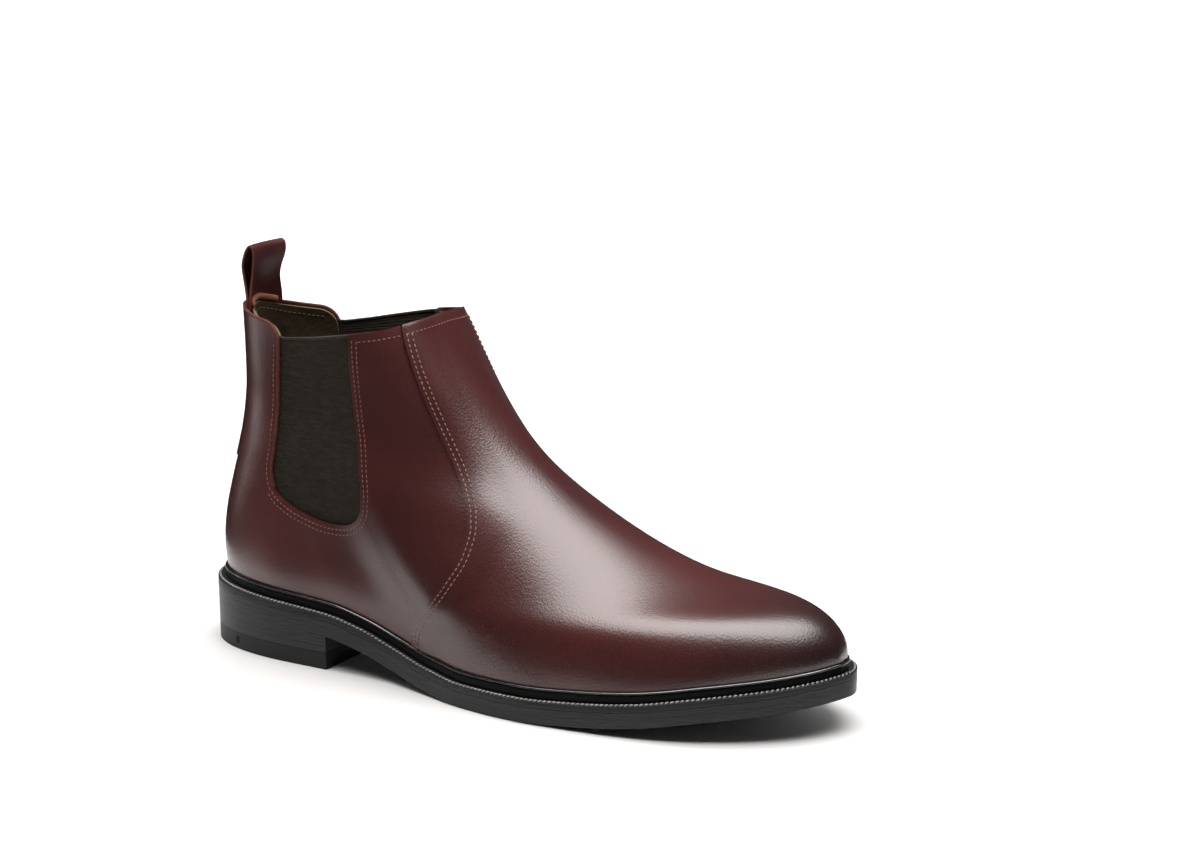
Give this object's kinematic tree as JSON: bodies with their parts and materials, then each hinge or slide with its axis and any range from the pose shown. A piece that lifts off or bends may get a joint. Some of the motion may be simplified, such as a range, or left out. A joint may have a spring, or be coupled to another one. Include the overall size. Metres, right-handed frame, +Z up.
{
  "type": "chelsea boot",
  "caption": "Low-heeled ankle boot for the right foot with elastic side panels, a welted layered sole, a full lining and a fold-over pull loop at the back.",
  "frame": {"origin": "on the floor, under the middle of the boot's box", "axes": "+Z up, toe towards -Y, outer (lateral) side of the foot towards -X"},
  "size_m": [0.1052, 0.305, 0.1758],
  "materials": {
    "upper_leather": "polished burgundy calf leather",
    "lining_leather": "matte olive brown lining leather",
    "elastic": "ribbed dark elastic webbing",
    "stiffener": "impregnated fibre stiffener",
    "rand_leather": "glossy black edge strip",
    "sole_edge": "satin charcoal sole edge",
    "outsole_rubber": "matte charcoal rubber",
    "insole_board": "plain insole leather",
    "cork": "pressed cork",
    "steel": "plain steel",
    "thread": "waxed linen thread"
  },
  "bodies": {
    "boot": {"vamp": "upper_leather", "quarter_lateral": "upper_leather", "quarter_medial": "upper_leather", "gore_lateral": "elastic", "gore_medial": "elastic", "toe_puff": "stiffener", "heel_counter": "stiffener", "topline_tape": "stiffener", "vamp_lining": "lining_leather", "back_lining": "lining_leather", "back_strip": "upper_leather", "pull_tab_anchor": "upper_leather", "welt": "sole_edge", "welt_thread": "thread", "cork_filler": "cork", "shank": "steel", "rand": "rand_leather", "insole": "insole_board", "sock_liner": "lining_leather", "heel_pad": "lining_leather", "midsole": "sole_edge", "outsole": "outsole_rubber", "heel_top_piece": "outsole_rubber", "heel_lift_1": "sole_edge", "heel_lift_2": "sole_edge", "heel_wedge": "sole_edge", "heel_nail_1": "steel", "heel_nail_2": "steel", "heel_nail_3": "steel", "heel_nail_4": "steel", "heel_nail_5": "steel"},
    "pull_tab": {"pull_tab": "upper_leather"}
  },
  "joints": [
    {"name": "pull_tab_bend", "type": "hinge", "parent": "boot", "child": "pull_tab", "pos_m": [0, 0.1318, 0.1532], "axis": [1, 0, 0], "range_deg": [-80, 80], "stiffness_Nm_per_rad": 0.01}
  ]
}
